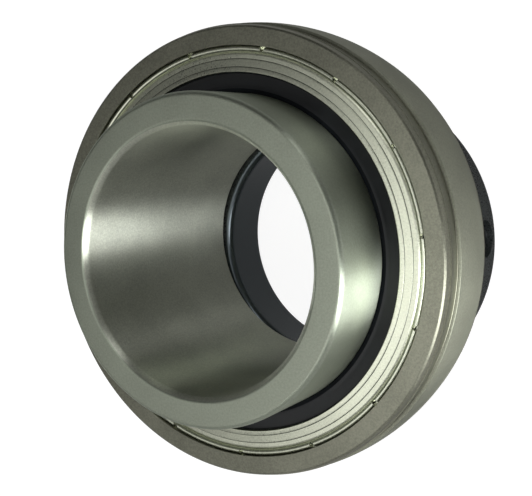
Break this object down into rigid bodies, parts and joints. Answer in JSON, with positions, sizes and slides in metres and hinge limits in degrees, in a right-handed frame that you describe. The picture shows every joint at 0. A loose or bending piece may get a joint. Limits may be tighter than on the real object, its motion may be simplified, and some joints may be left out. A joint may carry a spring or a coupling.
{
  "type": "insert bearing",
  "caption": "Wide inner ring ball bearing insert with a spherical outside, pressed shields, rubber seals and an eccentric locking collar.",
  "frame": {"origin": "on the bearing's axis, at the foot of the locking collar that it stands on", "axes": "+Z along the bore, from the collar end to the plain end; +X through the set screw's side"},
  "size_m": [0.09, 0.09, 0.0627],
  "materials": {
    "outer_ring_steel": "fine ground bearing steel",
    "inner_ring_steel": "fine ground bearing steel",
    "black_steel": "black oxide, oiled, turned",
    "screw_steel": "black oxide",
    "zinc_sheet": "zinc plated pressed sheet",
    "black_rubber": "moulded black rubber, slightly glossy",
    "cage_steel": "pressed steel strip",
    "ball_steel": "polished bearing steel"
  },
  "bodies": {
    "outer_ring": {"outer_ring": "outer_ring_steel", "shield_plain_side": "zinc_sheet", "shield_collar_side": "zinc_sheet", "seal_plain_side": "black_rubber", "seal_collar_side": "black_rubber"},
    "inner_ring": {"inner_ring": "inner_ring_steel"},
    "cage": {"cage_half_plain_side": "cage_steel", "cage_half_collar_side": "cage_steel", "cage_rivets": "cage_steel"},
    "collar": {"locking_collar": "black_steel"},
    "screw": {"set_screw": "screw_steel"},
    "ball_01": {"ball_01": "ball_steel"},
    "ball_02": {"ball_02": "ball_steel"},
    "ball_03": {"ball_03": "ball_steel"},
    "ball_04": {"ball_04": "ball_steel"},
    "ball_05": {"ball_05": "ball_steel"},
    "ball_06": {"ball_06": "ball_steel"},
    "ball_07": {"ball_07": "ball_steel"},
    "ball_08": {"ball_08": "ball_steel"},
    "ball_09": {"ball_09": "ball_steel"},
    "ball_10": {"ball_10": "ball_steel"}
  },
  "joints": [
    {"name": "inner_ring_spin", "type": "hinge", "parent": "outer_ring", "child": "inner_ring", "pos_m": [0, 0, 0.0381], "axis": [0, 0, 1], "continuous": true},
    {"name": "cage_spin", "type": "hinge", "parent": "outer_ring", "child": "cage", "pos_m": [0, 0, 0.0381], "axis": [0, 0, 1], "continuous": true},
    {"name": "collar_turn", "type": "hinge", "parent": "inner_ring", "child": "collar", "pos_m": [0.00117, -0.00026, 0.016], "axis": [0, 0, 1], "continuous": true},
    {"name": "screw_travel", "type": "slide", "parent": "collar", "child": "screw", "axis": [-1, 0, 0], "range_m": [-0.0085, 0.0016]},
    {"name": "ball_01_spin", "type": "hinge", "parent": "cage", "child": "ball_01", "pos_m": [0.035, 0, 0.0381], "axis": [0, 0, 1], "continuous": true},
    {"name": "ball_02_spin", "type": "hinge", "parent": "cage", "child": "ball_02", "pos_m": [0.02832, 0.02057, 0.0381], "axis": [0, 0, 1], "continuous": true},
    {"name": "ball_03_spin", "type": "hinge", "parent": "cage", "child": "ball_03", "pos_m": [0.01082, 0.03329, 0.0381], "axis": [0, 0, 1], "continuous": true},
    {"name": "ball_04_spin", "type": "hinge", "parent": "cage", "child": "ball_04", "pos_m": [-0.01082, 0.03329, 0.0381], "axis": [0, 0, 1], "continuous": true},
    {"name": "ball_05_spin", "type": "hinge", "parent": "cage", "child": "ball_05", "pos_m": [-0.02832, 0.02057, 0.0381], "axis": [0, 0, 1], "continuous": true},
    {"name": "ball_06_spin", "type": "hinge", "parent": "cage", "child": "ball_06", "pos_m": [-0.035, 0, 0.0381], "axis": [0, 0, 1], "continuous": true},
    {"name": "ball_07_spin", "type": "hinge", "parent": "cage", "child": "ball_07", "pos_m": [-0.02832, -0.02057, 0.0381], "axis": [0, 0, 1], "continuous": true},
    {"name": "ball_08_spin", "type": "hinge", "parent": "cage", "child": "ball_08", "pos_m": [-0.01082, -0.03329, 0.0381], "axis": [0, 0, 1], "continuous": true},
    {"name": "ball_09_spin", "type": "hinge", "parent": "cage", "child": "ball_09", "pos_m": [0.01082, -0.03329, 0.0381], "axis": [0, 0, 1], "continuous": true},
    {"name": "ball_10_spin", "type": "hinge", "parent": "cage", "child": "ball_10", "pos_m": [0.02832, -0.02057, 0.0381], "axis": [0, 0, 1], "continuous": true}
  ],
  "couplings": [
    {"joint": "cage_spin", "follows": "inner_ring_spin", "ratio": 0.40929},
    {"joint": "ball_01_spin", "follows": "inner_ring_spin", "ratio": -2.6652},
    {"joint": "ball_02_spin", "follows": "inner_ring_spin", "ratio": -2.6652},
    {"joint": "ball_03_spin", "follows": "inner_ring_spin", "ratio": -2.6652},
    {"joint": "ball_04_spin", "follows": "inner_ring_spin", "ratio": -2.6652},
    {"joint": "ball_05_spin", "follows": "inner_ring_spin", "ratio": -2.6652},
    {"joint": "ball_06_spin", "follows": "inner_ring_spin", "ratio": -2.6652},
    {"joint": "ball_07_spin", "follows": "inner_ring_spin", "ratio": -2.6652},
    {"joint": "ball_08_spin", "follows": "inner_ring_spin", "ratio": -2.6652},
    {"joint": "ball_09_spin", "follows": "inner_ring_spin", "ratio": -2.6652},
    {"joint": "ball_10_spin", "follows": "inner_ring_spin", "ratio": -2.6652}
  ]
}
